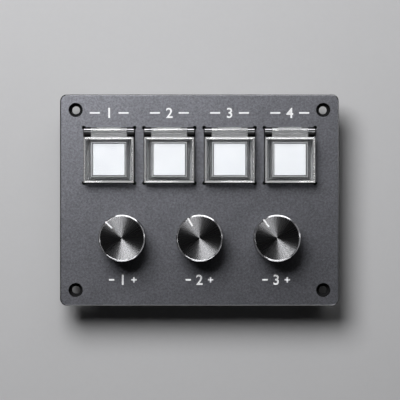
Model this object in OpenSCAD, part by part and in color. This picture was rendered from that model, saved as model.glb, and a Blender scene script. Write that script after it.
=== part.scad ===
// Macro keypad: a machined aluminium panel with four lit keys under clear flip covers
// and three push knobs, closed behind by a moulded housing on rubber feet.
// Millimetres. +Z points out of the panel's face, +Y towards the covers' hinges.
// The origin is on the surface that the feet stand on, under the panel's middle.

/* [Panel] */
// Plain metal beside the outer key cutouts
side_margin = 10.05; // [9.5:0.05:20]
// Metal behind the key cutouts, where their numbers are printed
label_strip = 14.2; // [13:0.1:20]
// Distance from the key cutouts to the row of knob axes
key_to_knob = 23.3; // [20:0.1:32]
// Metal from the row of knob axes to the front edge
knob_margin = 29.3; // [24:0.1:40]
// Thickness of the panel
panel_t = 5; // [4.5:0.1:8]
// Radius of the panel's corners
panel_r = 3; // [1.5:0.1:5]
// Chamfer round the panel's face
panel_edge = 0.5; // [0.2:0.1:1]
// Distance of each corner hole from the panel's edges
hole_inset = 6.75; // [6:0.05:7.5]
// Diameter of the corner holes
hole_d = 3.4; // [2.4:0.1:4.5]
// Diameter of the counterbore over each corner hole
counterbore_d = 6.1; // [5:0.1:7]
// Metal left under each counterbore
hole_land = 1.8; // [1:0.1:3]
// Depth of the pocket behind each knob
pocket_depth = 1; // [0.5:0.1:2]

/* [Key places] */
// Number of keys
key_count = 4; // [2:1:6]
// Metal between neighbouring key cutouts
key_web = 3.7; // [3:0.1:10]
// Diameter of the relief at each corner of a cutout
dogbone_d = 1.7; // [1:0.1:2.5]
// Distance of a corner relief's centre inside its cutout's sides
dogbone_in = 0.2; // [0:0.05:0.5]

/* [Key parts] */
// Gap between a key's frame and its cutout
frame_gap = 0.35; // [0.2:0.05:0.6]
// Reach of a frame beyond the sides of its cover
frame_reach = 0.05; // [0:0.05:0.2]
// Depth of the frame's top below the panel's face
frame_drop = 0.4; // [0.1:0.1:1]
// Width of the square bezel
bezel_w = 17.4; // [16:0.1:20]
// Height of the bezel above the panel's face
bezel_rise = 1.5; // [0.8:0.1:2]
// Chamfer round the bezel's top
bezel_edge = 0.3; // [0.1:0.1:0.6]
// Distance of the bezel from the front of its frame
bezel_front = 1.25; // [1.1:0.05:1.5]
// Gap round the bezel in the frame
seat_gap = 0.1; // [0.05:0.05:0.2]
// Distance from the lens's sides to the bezel's outside
bezel_side = 1.2; // [1.1:0.05:1.6]
// Height of the lens above the panel's face
lens_rise = 4.8; // [4.2:0.1:5.4]
// Depth of the lens's lower edge below the bezel's top
lens_sunk = 1; // [0.5:0.1:1.5]
// Thickness of the lens's top
lens_top = 1.2; // [0.8:0.1:1.6]
// Thickness of the lens's sides
lens_wall = 0.8; // [0.5:0.1:1.2]
// Chamfer round the lens's top
lens_edge = 0.35; // [0.1:0.05:0.6]
// Gap between the lens and the bezel
slide_gap = 0.15; // [0.1:0.05:0.25]
// Travel of a key
key_travel = 2.5; // [1.5:0.1:3]
// Thickness of the plunger's plate and skirt
plunger_t = 1.2; // [0.8:0.1:1.6]
// Diameter of the light hole in the plunger
light_hole_d = 7; // [5:0.5:7.5]
// Thickness of the floor under each switch
switch_floor = 2; // [1.2:0.1:2.5]
// Width of the square lamp under each key
lamp_w = 5; // [3:0.1:5.2]
// Height of the lamp
lamp_h = 1.6; // [0.8:0.1:2]
// Mean radius of the return spring
spring_r = 4.3; // [4.1:0.05:4.8]
// Thickness of the return spring's wire
spring_wire = 0.5; // [0.3:0.05:0.6]
// Turns of the return spring
spring_turns = 5; // [3:1:7]

/* [Flip covers] */
// Wall of a cover
cover_wall = 1; // [0.7:0.05:1.1]
// Room between a cover's side walls and the bezel
cover_room = 1; // [0.8:0.05:1.5]
// Reach of a cover's rear wall behind the bezel
cover_behind = 0.85; // [0.6:0.05:0.95]
// Length of the frame behind its cover, for the hinge
hinge_room = 4; // [3.8:0.1:5]
// Height of a cover's top above the panel's face
cover_rise = 7.5; // [7:0.1:9]
// Thickness of a cover's top
cover_top = 1.2; // [0.8:0.1:1.3]
// Chamfer round a cover's top
cover_edge = 0.8; // [0.3:0.1:1]
// Clearance between the rear wall of a cover and the bezel
cover_rear_gap = 0.3; // [0.2:0.05:0.6]
// Diameter of the hinge pins
pin_d = 1.5; // [1.2:0.1:1.6]
// Height of the hinge axis above the panel's face
pin_rise = 3.6; // [3.2:0.1:4]
// Distance of the hinge axis from the rear of the frame
pin_in = 1.15; // [1.05:0.05:1.3]
// Wall of a cover's barrel round the pin
barrel_wall = 0.4; // [0.3:0.05:0.5]
// Height of the step in the middle of the barrel
barrel_step = 0.25; // [0.1:0.05:0.4]
// Length of a hinge pin that shows on each side of its cover's tongue
pin_show = 3; // [2.8:0.1:4]
// Distance of the barrel's step from the ends of the tongue
step_in = 2.55; // [1:0.05:4]
// Thickness of the hinge tongue
tongue_t = 1.6; // [1:0.1:2]
// Thickness of a hinge lug in front of the pin
lug_front = 1.6; // [1.2:0.1:1.8]
// Height of a hinge lug above the pin's axis
lug_grip = 0.3; // [0.1:0.05:0.4]
// Gap between the tongue and each lug
lug_gap = 0.3; // [0.2:0.05:0.5]
// Running clearance on the radius of a hinge pin
hinge_gap = 0.05; // [0.03:0.01:0.08]

/* [Knobs] */
// Number of knobs
knob_count = 3; // [1:1:4]
// Distance between neighbouring knobs
knob_pitch = 33; // [28:0.5:40]
// Diameter of a knob
knob_d = 19.8; // [18:0.2:26]
// Height of a knob's top above the panel's face
knob_rise = 15.5; // [14.5:0.1:18]
// Gap between a knob and the panel
knob_lift = 1; // [0.8:0.1:1.5]
// Chamfer round a knob's top and foot
knob_edge = 0.6; // [0.3:0.1:1]
// Width and depth of the step inside a knob's rim
rim_step = 0.2; // [0.1:0.05:0.4]
// Depth of the dish in a knob's top, from the step to the middle
dish_depth = 0.35; // [0.1:0.05:0.6]
// Depth of the hollow under a knob
hollow_depth = 3.2; // [3:0.1:4]
// Gap round the nut in the hollow under a knob
hollow_gap = 1.7; // [1:0.1:2.5]
// Width of the pointer groove
pointer_w = 0.7; // [0.4:0.05:1]
// Depth of the pointer groove below the rim
pointer_depth = 0.75; // [0.7:0.05:0.9]
// Distance of the pointer groove from a knob's axis
pointer_start = 5.9; // [4:0.1:8]
// Diameter of a knob's set screw
set_screw_d = 3; // [2:0.1:3]
// Length of a knob's set screw
set_screw_l = 4; // [3:0.1:5]
// Height of the set screw above the panel's face
set_screw_rise = 7.6; // [7:0.1:8.5]

/* [Encoders] */
// Width of an encoder
encoder_w = 12; // [11:0.1:13]
// Length of an encoder
encoder_l = 13.2; // [11:0.1:14]
// Height of an encoder's case
encoder_h = 7; // [6.5:0.1:8]
// Gap round an encoder in its pocket
pocket_gap = 0.2; // [0.1:0.1:0.5]
// Diameter of an encoder's threaded neck
neck_d = 7; // [6.9:0.1:8]
// Gap between the neck and its hole in the panel
neck_gap = 0.1; // [0.05:0.05:0.3]
// Diameter of an encoder's shaft
shaft_d = 6; // [5:0.1:6]
// Height of the shaft's end above the panel's face
shaft_rise = 11; // [10:0.1:12]
// Thickness left at the flat of the shaft's end
shaft_flat = 4.5; // [4:0.1:5]
// Running clearance on the radius of a shaft
shaft_gap = 0.05; // [0.03:0.01:0.08]
// Travel of a knob when pushed
knob_travel = 0.5; // [0.3:0.1:0.6]
// Diameter of an encoder's rotor
rotor_d = 10; // [9:0.1:10]
// Thickness of an encoder's rotor
rotor_t = 2; // [1.5:0.1:2.2]
// Gap round the rotor
rotor_gap = 0.05; // [0.03:0.01:0.1]
// Diameter of the shaft's lower end, inside the rotor
drive_d = 4.4; // [4:0.1:4.8]
// Width across the flats of the shaft's lower end
drive_flats = 3.2; // [2.8:0.1:3.6]
// Reach of the shaft's lower end below the rotor
drive_reach = 0.5; // [0.3:0.1:0.8]
// Thickness of an encoder's floor
encoder_floor = 1.2; // [0.8:0.1:1.4]
// Diameter of an encoder's washer
washer_d = 11.6; // [10:0.1:12]
// Thickness of an encoder's washer
washer_t = 0.5; // [0.3:0.1:0.6]
// Width across the flats of an encoder's nut
nut_flats = 10; // [9:0.1:11]
// Thickness of an encoder's nut
nut_t = 2; // [1.5:0.1:2]

/* [Housing] */
// Panel overhang beyond the housing's sides
overhang_side = 5; // [4:0.1:5.8]
// Panel overhang beyond the housing's front and rear
overhang_end = 3; // [2:0.1:4]
// Wall of the housing
wall = 2; // [1.5:0.1:2.4]
// Thickness of the housing's floor
floor_t = 2; // [1.6:0.1:3]
// Room under the circuit board
under_gap = 3.4; // [2.5:0.1:5]
// Radius of the housing's relief round each corner hole
relief_r = 5; // [4.5:0.1:5.5]
// Diameter of a rubber foot
foot_d = 8; // [6:0.5:10]
// Height of the feet below the housing
foot_rise = 1.5; // [1:0.1:3]
// Depth of the recess that holds a foot
foot_recess = 0.5; // [0.3:0.1:0.8]
// Distance of a foot from the panel's sides
foot_side = 13; // [12:0.5:18]
// Distance of a foot from the panel's front and rear edges
foot_end = 20; // [19:0.5:24]

/* [Board and fixings] */
// Thickness of the circuit board
board_t = 1.6; // [1:0.1:2]
// Gap between the circuit board and the housing's wall
board_gap = 0.6; // [0.3:0.1:1]
// Distance of a standoff from the panel's sides
standoff_side = 20; // [19:0.5:24]
// Distance of a standoff from the panel's front and rear edges
standoff_end = 9; // [8.8:0.1:9.4]
// Width across the flats of a standoff
standoff_flats = 5.5; // [5:0.1:6]
// Diameter of the peg that is pressed into the panel
peg_d = 3.6; // [3:0.1:4]
// Length of the peg
peg_l = 2.4; // [1.5:0.1:3]
// Diameter of the housing screws
screw_d = 3; // [2.5:0.1:3.2]
// Length of the housing screws
screw_l = 12; // [10:0.5:12]
// Diameter of a housing screw's head
screw_head_d = 5.8; // [5:0.1:6.4]
// Diameter of the boss round a housing screw
boss_d = 6.8; // [6.5:0.1:7]
// Clearance on the radius of a fitted round part
fit_gap = 0.02; // [0.01:0.01:0.04]
// Clearance on the radius of a screw in a plain hole
screw_gap = 0.1; // [0.05:0.05:0.2]

/* [Cable socket] */
// Width of the socket
socket_w = 8.94; // [8:0.02:9.5]
// Height of the socket
socket_h = 3.26; // [3:0.02:3.6]
// Length of the socket
socket_l = 7.3; // [6:0.1:8]
// Thickness of the socket's shell
socket_skin = 0.3; // [0.2:0.05:0.4]
// Width of the contact tongue
contact_w = 6.7; // [6:0.1:6.8]
// Thickness of the contact tongue
contact_t = 0.7; // [0.5:0.1:0.9]
// Gap round the socket in the housing's wall
socket_gap = 0.2; // [0.1:0.05:0.4]
// Width of the recess for a plug
plug_w = 12.6; // [11:0.1:14]
// Height of the recess for a plug
plug_h = 6.8; // [6:0.1:7]
// Depth of the recess for a plug
plug_depth = 0.8; // [0.4:0.1:1]

/* [Hidden] */
$fn = 64;
// Angle of each knob's pointer, from +X towards +Y
pointer_angles = [134.5, 120, 126, 90];
// Reach of a cutting shape past the surface that it cuts
past = 1;
// Width of the chip and its height, the pitch of its leads and their number on a side
chip_w = 7;
chip_h = 1;
lead_pitch = 0.8;
lead_count = 7;
// Width and thickness of a lead
lead_w = 0.3;
lead_t = 0.2;
// Size and pitch of the capacitors, and their number in each row
capacitor = [2, 1.25, 1];
capacitor_pitch = 3.5;
capacitor_count = 3;
// Solder pins: diameter, clearance in the board and length below the board
pin_wire = 0.9;
pin_clear = 0.1;
pin_below = 0.8;
// Spacing of an encoder's pins, and their distance from its middle
encoder_pin_pitch = 2.5;
encoder_pin_row = 5.4;
// Distance of a switch's pins from its middle
switch_pin_off = 5;
// Rings to each turn of the spring's wire, and corners of each ring
rings_per_turn = 8;
ring_sides = 6;
// Width across the flats and depth of the sockets in the screws
screw_key = 2;
screw_key_depth = 1.1;
set_screw_key = 1.5;
set_screw_key_depth = 1.5;
// Depth of the housing screws' heads below the housing
head_sunk = 0.2;

// Sizes of a key that follow from its bezel, from the lens out to the cutout
lens_w = bezel_w - 2 * bezel_side;
bezel_hole = lens_w + 2 * slide_gap;
cover_w = bezel_w + 2 * (cover_room + cover_wall);
cover_l = bezel_front + bezel_w + cover_behind;
tongue_w = cover_w - 2 * pin_show;
step_w = tongue_w - 2 * step_in;
frame_w = cover_w + 2 * frame_reach;
frame_l = cover_l + hinge_room;
cutout_w = frame_w + 2 * frame_gap;
cutout_l = frame_l + 2 * frame_gap;

// Panel outline and the places of the keys and knobs on it
key_pitch = cutout_w + key_web;
panel_w = (key_count - 1) * key_pitch + cutout_w + 2 * side_margin;
panel_l = label_strip + cutout_l + key_to_knob + knob_margin;
cutout_y = panel_l / 2 - label_strip - cutout_l / 2;
knob_y = knob_margin - panel_l / 2;
hole_x = panel_w / 2 - hole_inset;
hole_y = panel_l / 2 - hole_inset;
key_xs = [for (i = [0 : key_count - 1]) (i - (key_count - 1) / 2) * key_pitch];
knob_xs = [for (i = [0 : knob_count - 1]) (i - (knob_count - 1) / 2) * knob_pitch];

// Levels, from the surface that the feet stand on
housing_z = foot_rise;
floor_z = housing_z + floor_t;
board_z = floor_z + under_gap;
board_top = board_z + board_t;
standoff_h = encoder_h - pocket_depth;
panel_z = board_top + standoff_h;
face_z = panel_z + panel_t;

// Levels of a key and its cover, and their places along Y
frame_z = face_z - frame_drop;
switch_y = cutout_y - frame_l / 2 + bezel_front + bezel_w / 2;
bezel_z = face_z + bezel_rise;
lens_z = face_z + lens_rise;
lens_low = bezel_z - lens_sunk;
switch_z = board_top + switch_floor;
plunger_z = switch_z + key_travel;
plunger_h = lens_low - plunger_z;
plunger_w = bezel_hole - 2 * slide_gap;
spring_h = lens_low - plunger_t - switch_z;
cover_front = cutout_y - frame_l / 2;
cover_rear = cover_front + cover_l;
hinge_y = cutout_y + frame_l / 2 - pin_in;
hinge_z = face_z + pin_rise;
lug_w = (cover_w - tongue_w) / 2 - lug_gap;
barrel_r = pin_d / 2 + hinge_gap + barrel_wall;

// Knob and encoder levels
knob_z = face_z + knob_lift;
knob_top = face_z + knob_rise;
encoder_top = board_top + encoder_h;
drive_z = board_top + encoder_floor + knob_travel + shaft_gap;
rotor_z = drive_z + drive_reach;
shoulder_z = rotor_z + rotor_t + rotor_gap + knob_travel + shaft_gap;
neck_top = face_z + washer_t + nut_t + shaft_gap;
nut_corner_r = nut_flats / 2 / cos(30);
bore_top = face_z + shaft_rise + knob_travel;

// The chip and its capacitors stand midway between the keys and the encoders
chip_y = (cover_front + knob_y + encoder_l / 2) / 2;

// Places of the fixings and the socket
standoff_x = panel_w / 2 - standoff_side;
standoff_y = panel_l / 2 - standoff_end;
screw_z = housing_z + head_sunk;
head_h = (screw_head_d - screw_d) / 2;
mouth_y = panel_l / 2 - overhang_end - plug_depth;
socket_z = board_top + socket_h / 2;

function numbered(name, count) = [for (i = [1 : count]) str(name, "_", i)];

// ---- shared shapes ----

// Places its children in all four quarters, mirrored about both axes
module quarters(x, y) {
    for (mx = [0, 1], my = [0, 1])
        mirror([mx, 0, 0]) mirror([0, my, 0]) translate([x, y, 0]) children();
}

// Outline with rounded corners
module rounded(w, l, r) {
    square([w - 2 * r, l], center = true);
    square([w, l - 2 * r], center = true);
    quarters(w / 2 - r, l / 2 - r) circle(r = r);
}

// Slot outline with round ends
module stadium(w, h) {
    square([w - h, h], center = true);
    for (side = [-1, 1]) translate([side * (w - h) / 2, 0]) circle(d = h);
}

// Block on the plane z = 0 with its top edges chamfered
module edged_block(w, l, h, edge) {
    intersection() {
        rotate([90, 0, 0]) linear_extrude(l, center = true) edged_profile(w, h, edge);
        rotate([90, 0, 90]) linear_extrude(w, center = true) edged_profile(l, h, edge);
    }
}

// Side view of an edged block
module edged_profile(w, h, edge) {
    polygon([[-w / 2, 0], [w / 2, 0], [w / 2, h - edge],
        [w / 2 - edge, h], [edge - w / 2, h], [-w / 2, h - edge]]);
}

// Cylinder cut to the part of it where x is over the flat
module flatted(r, h, flat_x) {
    intersection() {
        cylinder(r = r, h = h);
        translate([flat_x, -r - past, -past]) cube([2 * r + past, 2 * (r + past), h + 2 * past]);
    }
}

// Cylinder with two flats that face each other
module two_flats(r, h, flats) {
    intersection() {
        cylinder(r = r, h = h);
        translate([-flats / 2, -r - past, -past]) cube([flats, 2 * (r + past), h + 2 * past]);
    }
}

// ---- panel and housing ----

// Plate with its top edges chamfered, corners included
module edged_plate(w, l, h, r, edge) {
    linear_extrude(h - edge) rounded(w, l, r);
    translate([0, 0, h - edge]) {
        rotate([90, 0, 0]) linear_extrude(l - 2 * r, center = true) edged_profile(w, edge, edge);
        rotate([90, 0, 90]) linear_extrude(w - 2 * r, center = true) edged_profile(l, edge, edge);
        quarters(w / 2 - r, l / 2 - r) cylinder(h = edge, r1 = r, r2 = r - edge);
    }
}

module cutout_outline() {
    square([cutout_w, cutout_l], center = true);
    quarters(cutout_w / 2 - dogbone_in, cutout_l / 2 - dogbone_in) circle(d = dogbone_d);
}

module front_panel() {
    color([0.37, 0.37, 0.4]) difference() {
        translate([0, 0, panel_z]) edged_plate(panel_w, panel_l, panel_t, panel_r, panel_edge);
        for (x = key_xs)
            translate([x, cutout_y, panel_z - past]) linear_extrude(panel_t + 2 * past) cutout_outline();
        for (x = knob_xs) translate([x, knob_y, panel_z - past]) {
            cylinder(d = neck_d + 2 * neck_gap, h = panel_t + 2 * past);
            linear_extrude(pocket_depth + past)
                square([encoder_w + 2 * pocket_gap, encoder_l + 2 * pocket_gap], center = true);
        }
        quarters(hole_x, hole_y) {
            translate([0, 0, panel_z - past]) cylinder(d = hole_d, h = panel_t + 2 * past);
            translate([0, 0, panel_z + hole_land]) cylinder(d = counterbore_d, h = panel_t);
        }
        quarters(standoff_x, standoff_y) translate([0, 0, panel_z - past])
            cylinder(r = peg_d / 2 + fit_gap, h = peg_l + fit_gap + past);
    }
}

// Outline of the housing, set in from its outside, with a relief round each corner hole
module housing_outline(inset) {
    r = relief_r + inset;
    reach = hole_inset + r;
    difference() {
        square([panel_w - 2 * (overhang_side + inset), panel_l - 2 * (overhang_end + inset)],
            center = true);
        quarters(hole_x, hole_y) {
            circle(r = r);
            translate([-r, 0]) square([r + reach, reach]);
            translate([0, -r]) square([reach, r + reach]);
        }
    }
}

module screw_cutter() {
    translate([0, 0, housing_z - past]) cylinder(d = screw_head_d, h = past + head_sunk);
    translate([0, 0, screw_z]) cylinder(d1 = screw_head_d, d2 = screw_d, h = head_h);
    translate([0, 0, housing_z]) cylinder(r = screw_d / 2 + screw_gap, h = board_top);
}

module rear_housing() {
    color([0.09, 0.09, 0.1]) difference() {
        union() {
            translate([0, 0, housing_z]) difference() {
                linear_extrude(panel_z - housing_z) housing_outline(0);
                translate([0, 0, floor_t]) linear_extrude(panel_z) housing_outline(wall);
            }
            quarters(standoff_x, standoff_y) translate([0, 0, housing_z])
                cylinder(d = boss_d, h = board_z - housing_z);
        }
        quarters(standoff_x, standoff_y) screw_cutter();
        quarters(panel_w / 2 - foot_side, panel_l / 2 - foot_end)
            translate([0, 0, housing_z - past]) cylinder(r = foot_d / 2 + fit_gap, h = foot_recess + past);
        translate([0, mouth_y + past + plug_depth, socket_z]) rotate([90, 0, 0]) {
            linear_extrude(plug_depth + past) stadium(plug_w, plug_h);
            linear_extrude(wall + 2 * past)
                stadium(socket_w + 2 * socket_gap, socket_h + 2 * socket_gap);
        }
    }
}

module rubber_feet() {
    color([0.05, 0.05, 0.05]) quarters(panel_w / 2 - foot_side, panel_l / 2 - foot_end) {
        translate([0, 0, foot_rise / 2]) cylinder(d = foot_d, h = foot_rise / 2 + foot_recess);
        cylinder(d1 = foot_d - foot_rise, d2 = foot_d, h = foot_rise / 2);
    }
}

module housing_screws() {
    color([0.16, 0.16, 0.17]) quarters(standoff_x, standoff_y) translate([0, 0, screw_z])
        difference() {
            union() {
                cylinder(d1 = screw_head_d - 2 * fit_gap, d2 = screw_d - 2 * fit_gap, h = head_h);
                cylinder(d = screw_d - 2 * fit_gap, h = screw_l);
            }
            translate([0, 0, -past])
                cylinder(d = screw_key / cos(30), h = screw_key_depth + past, $fn = 6);
        }
}

// ---- board and what is soldered to it ----

module board_standoffs() {
    color([0.8, 0.68, 0.4]) quarters(standoff_x, standoff_y) translate([0, 0, board_top])
        difference() {
            union() {
                cylinder(d = standoff_flats / cos(30), h = standoff_h, $fn = 6);
                translate([0, 0, standoff_h]) cylinder(d = peg_d, h = peg_l);
            }
            translate([0, 0, -past]) cylinder(d = screw_d, h = screw_l - head_h + past);
        }
}

module pin_places(pitch, row) {
    for (x = [-1, 0, 1]) translate([x * pitch, -row, 0]) children();
    for (x = [-1, 1]) translate([x * pitch, row, 0]) children();
}

module switch_pin_places() {
    for (x = [-1, 1], y = [-1, 1]) translate([x * switch_pin_off, y * switch_pin_off, 0]) children();
}

module main_board() {
    hole_h = board_t + 2 * past;
    color([0.05, 0.23, 0.14]) translate([0, 0, board_z]) difference() {
        linear_extrude(board_t) housing_outline(wall + board_gap);
        translate([0, 0, -past]) {
            quarters(standoff_x, standoff_y) cylinder(r = screw_d / 2 + screw_gap, h = hole_h);
            for (x = knob_xs) translate([x, knob_y, 0])
                pin_places(encoder_pin_pitch, encoder_pin_row) cylinder(d = pin_wire + 2 * pin_clear, h = hole_h);
            for (x = key_xs) translate([x, switch_y, 0])
                switch_pin_places() cylinder(d = pin_wire + 2 * pin_clear, h = hole_h);
        }
    }
}

module controller_chip() {
    color([0.1, 0.1, 0.11]) translate([0, chip_y, board_top]) {
        translate([0, 0, lead_t]) edged_block(chip_w, chip_w, chip_h - lead_t, lead_t);
        for (turn = [0 : 90 : 270], i = [0 : lead_count - 1])
            rotate(turn) translate([chip_w / 2, (i - (lead_count - 1) / 2) * lead_pitch - lead_w / 2, 0]) {
                translate([-lead_t, 0, 0]) cube([2 * lead_t, lead_w, chip_h / 2]);
                cube([4 * lead_t, lead_w, lead_t]);
            }
    }
}

module chip_capacitors() {
    first = chip_w / 2 + capacitor_pitch;
    color([0.75, 0.62, 0.45]) for (side = [-1, 1], i = [0 : capacitor_count - 1])
        translate([side * (first + i * capacitor_pitch), chip_y, board_top])
            edged_block(capacitor[0], capacitor[1], capacitor[2], lead_t);
}

module cable_socket() {
    color([0.78, 0.78, 0.8]) translate([0, mouth_y, socket_z]) rotate([90, 0, 0]) {
        difference() {
            linear_extrude(socket_l) stadium(socket_w, socket_h);
            translate([0, 0, -past]) linear_extrude(socket_l - socket_skin + past)
                stadium(socket_w - 2 * socket_skin, socket_h - 2 * socket_skin);
        }
        translate([0, 0, socket_skin]) linear_extrude(socket_l - socket_skin)
            square([contact_w, contact_t], center = true);
    }
}

// ---- keys ----

module key_lamps() {
    color([1, 0.95, 0.8]) for (x = key_xs) translate([x, switch_y, switch_z]) {
        edged_block(lamp_w, lamp_w, lamp_h - lead_t, lead_t);
        cylinder(d = lamp_w - 1, h = lamp_h);
    }
}

// Frame that stands on the board, fills the cutout and carries the hinge pin
module key_frame(x) {
    lug_y = hinge_y - cutout_y;
    color([0.07, 0.07, 0.08]) translate([x, cutout_y, 0]) difference() {
        union() {
            translate([-frame_w / 2, -frame_l / 2, board_top])
                cube([frame_w, frame_l, frame_z - board_top]);
            for (side = [0, 1]) mirror([side, 0, 0])
                translate([cover_w / 2 - lug_w, lug_y - lug_front, board_top])
                    cube([lug_w, frame_l / 2 - lug_y + lug_front, hinge_z + lug_grip - board_top]);
        }
        translate([0, switch_y - cutout_y, board_top - past]) linear_extrude(face_z)
            square(bezel_w + 2 * seat_gap, center = true);
        translate([0, lug_y, hinge_z]) rotate([0, 90, 0])
            cylinder(r = pin_d / 2 + fit_gap, h = 2 * cutout_w, center = true);
    }
}

module switch_base(x) {
    color([0.06, 0.06, 0.07]) translate([x, switch_y, board_top]) {
        difference() {
            edged_block(bezel_w, bezel_w, bezel_z - board_top, bezel_edge);
            translate([0, 0, switch_floor]) linear_extrude(bezel_z) square(bezel_hole, center = true);
        }
        switch_pin_places() translate([0, 0, -board_t - pin_below])
            cylinder(d = pin_wire, h = board_t + pin_below + switch_floor / 2);
    }
}

// A point on the spring's wire: ring i, corner j
function wire_point(i, j) =
    let (
        turn = 360 * i / rings_per_turn,
        corner = 360 * j / ring_sides + 30,
        r = spring_r + spring_wire / 2 * cos(corner),
        share = i / (spring_turns * rings_per_turn),
        climb = spring_wire / 2 + (spring_h - spring_wire) * share
    ) [r * cos(turn), r * sin(turn), climb + spring_wire / 2 * sin(corner)];

module return_spring(x) {
    last = spring_turns * rings_per_turn;
    points = [for (i = [0 : last], j = [0 : ring_sides - 1]) wire_point(i, j)];
    skin = [for (i = [0 : last - 1], j = [0 : ring_sides - 1], half = [0, 1])
        let (a = i * ring_sides + j, b = i * ring_sides + (j + 1) % ring_sides)
        half == 0 ? [a, a + ring_sides, b + ring_sides] : [a, b + ring_sides, b]];
    caps = [for (j = [1 : ring_sides - 2], end = [0, last])
        let (a = end * ring_sides)
        end == 0 ? [a, a + j, a + j + 1] : [a, a + j + 1, a + j]];
    color([0.75, 0.75, 0.78]) translate([x, switch_y, switch_z])
        polyhedron(points = points, faces = concat(skin, caps));
}

// Plate and skirt that slide in the switch and carry the lens
module key_plunger(x) {
    color([0.1, 0.1, 0.11]) translate([x, switch_y, plunger_z]) difference() {
        linear_extrude(plunger_h) square(plunger_w, center = true);
        translate([0, 0, -past]) linear_extrude(plunger_h - plunger_t + past)
            square(plunger_w - 2 * plunger_t, center = true);
        cylinder(d = light_hole_d, h = plunger_h + past);
    }
}

module key_diffuser(x) {
    side = lens_w - 2 * lens_wall - 2 * fit_gap;
    color([0.96, 0.96, 0.96]) translate([x, switch_y, lens_low])
        linear_extrude(lens_z - lens_top - lens_low) square(side, center = true);
}

module key_lens(x) {
    color([0.9, 0.93, 0.95, 0.4]) translate([x, switch_y, lens_low]) difference() {
        edged_block(lens_w, lens_w, lens_z - lens_low, lens_edge);
        translate([0, 0, -past]) linear_extrude(lens_z - lens_top - lens_low + past)
            square(lens_w - 2 * lens_wall, center = true);
    }
}

module hinge_pin(x) {
    color([0.85, 0.85, 0.87]) translate([x, hinge_y, hinge_z]) rotate([0, 90, 0])
        cylinder(d = pin_d, h = cover_w, center = true);
}

// Clear box lid: its side and front walls stand on the frame, its short rear wall has the hinge
module flip_cover(x) {
    mid_y = (cover_front + cover_rear) / 2;
    rear_low = bezel_rise + cover_rear_gap + frame_drop;
    inner_h = cover_rise + frame_drop - cover_top;
    color([0.85, 0.9, 0.92, 0.35]) difference() {
        union() {
            translate([x, mid_y, frame_z]) difference() {
                edged_block(cover_w, cover_l, cover_rise + frame_drop, cover_edge);
                translate([0, 0, -past]) linear_extrude(inner_h + past)
                    square([cover_w, cover_l] - 2 * [cover_wall, cover_wall], center = true);
                translate([0, cover_l / 2, -past]) linear_extrude(rear_low + past)
                    square([cover_w - 2 * cover_wall, 3 * cover_wall], center = true);
            }
            translate([x - tongue_w / 2, cover_rear - cover_wall / 2, hinge_z - tongue_t / 2])
                cube([tongue_w, hinge_y - cover_rear + cover_wall / 2, tongue_t]);
            translate([x, hinge_y, hinge_z]) rotate([0, 90, 0]) {
                cylinder(r = barrel_r, h = tongue_w, center = true);
                cylinder(r = barrel_r + barrel_step, h = step_w, center = true);
            }
        }
        translate([x, hinge_y, hinge_z]) rotate([0, 90, 0])
            cylinder(r = pin_d / 2 + hinge_gap, h = cutout_w, center = true);
    }
}

// ---- knobs and encoders ----

module encoder_body(x) {
    cavity_h = rotor_t + 2 * rotor_gap;
    cavity_z = rotor_z - rotor_gap;
    color([0.6, 0.6, 0.62]) translate([x, knob_y, 0]) {
        difference() {
            union() {
                translate([-encoder_w / 2, -encoder_l / 2, board_top])
                    cube([encoder_w, encoder_l, encoder_h]);
                translate([0, 0, encoder_top]) cylinder(d = neck_d, h = neck_top - encoder_top);
            }
            translate([0, 0, cavity_z]) cylinder(r = rotor_d / 2 + rotor_gap, h = cavity_h);
            translate([0, 0, cavity_z]) cylinder(r = shaft_d / 2 + shaft_gap, h = face_z);
            translate([0, 0, board_top + encoder_floor])
                cylinder(r = drive_d / 2 + shaft_gap, h = cavity_z - board_top);
        }
        pin_places(encoder_pin_pitch, encoder_pin_row) translate([0, 0, -pin_below])
            translate([0, 0, board_z]) cylinder(d = pin_wire, h = board_t + pin_below + encoder_floor / 2);
    }
}

module encoder_washers() {
    color([0.8, 0.8, 0.8]) for (x = knob_xs) translate([x, knob_y, face_z]) difference() {
        cylinder(d = washer_d, h = washer_t);
        translate([0, 0, -past]) cylinder(r = neck_d / 2 + fit_gap, h = washer_t + 2 * past);
    }
}

module encoder_nuts() {
    color([0.78, 0.78, 0.8]) for (x = knob_xs) translate([x, knob_y, face_z + washer_t]) difference() {
        cylinder(r = nut_corner_r, h = nut_t, $fn = 6);
        translate([0, 0, -past]) cylinder(r = neck_d / 2 + fit_gap, h = nut_t + 2 * past);
    }
}

// Wiper disc that the shaft turns and slides through
module encoder_rotor(x, angle) {
    color([0.2, 0.2, 0.2]) translate([x, knob_y, rotor_z]) rotate(angle) difference() {
        cylinder(d = rotor_d, h = rotor_t);
        translate([0, 0, -past])
            two_flats(drive_d / 2 + shaft_gap, rotor_t + 2 * past, drive_flats + 2 * shaft_gap);
    }
}

module encoder_shaft(x, angle) {
    end_z = face_z + shaft_rise;
    flat_z = knob_z + hollow_depth;
    color([0.7, 0.7, 0.72]) translate([x, knob_y, 0]) rotate(angle) {
        translate([0, 0, drive_z]) two_flats(drive_d / 2, shoulder_z - drive_z + past, drive_flats);
        translate([0, 0, shoulder_z]) cylinder(d = shaft_d, h = flat_z - shoulder_z);
        translate([0, 0, flat_z]) flatted(shaft_d / 2, end_z - flat_z, shaft_d / 2 - shaft_flat);
    }
}

// Turned outline of a knob, from its axis outwards
module knob_profile() {
    r = knob_d / 2;
    rim_r = r - knob_edge;
    polygon([
        [0, knob_z], [r - knob_edge, knob_z], [r, knob_z + knob_edge],
        [r, knob_top - knob_edge], [rim_r, knob_top], [rim_r - rim_step, knob_top - rim_step],
        [0, knob_top - rim_step - dish_depth]]);
}

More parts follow.
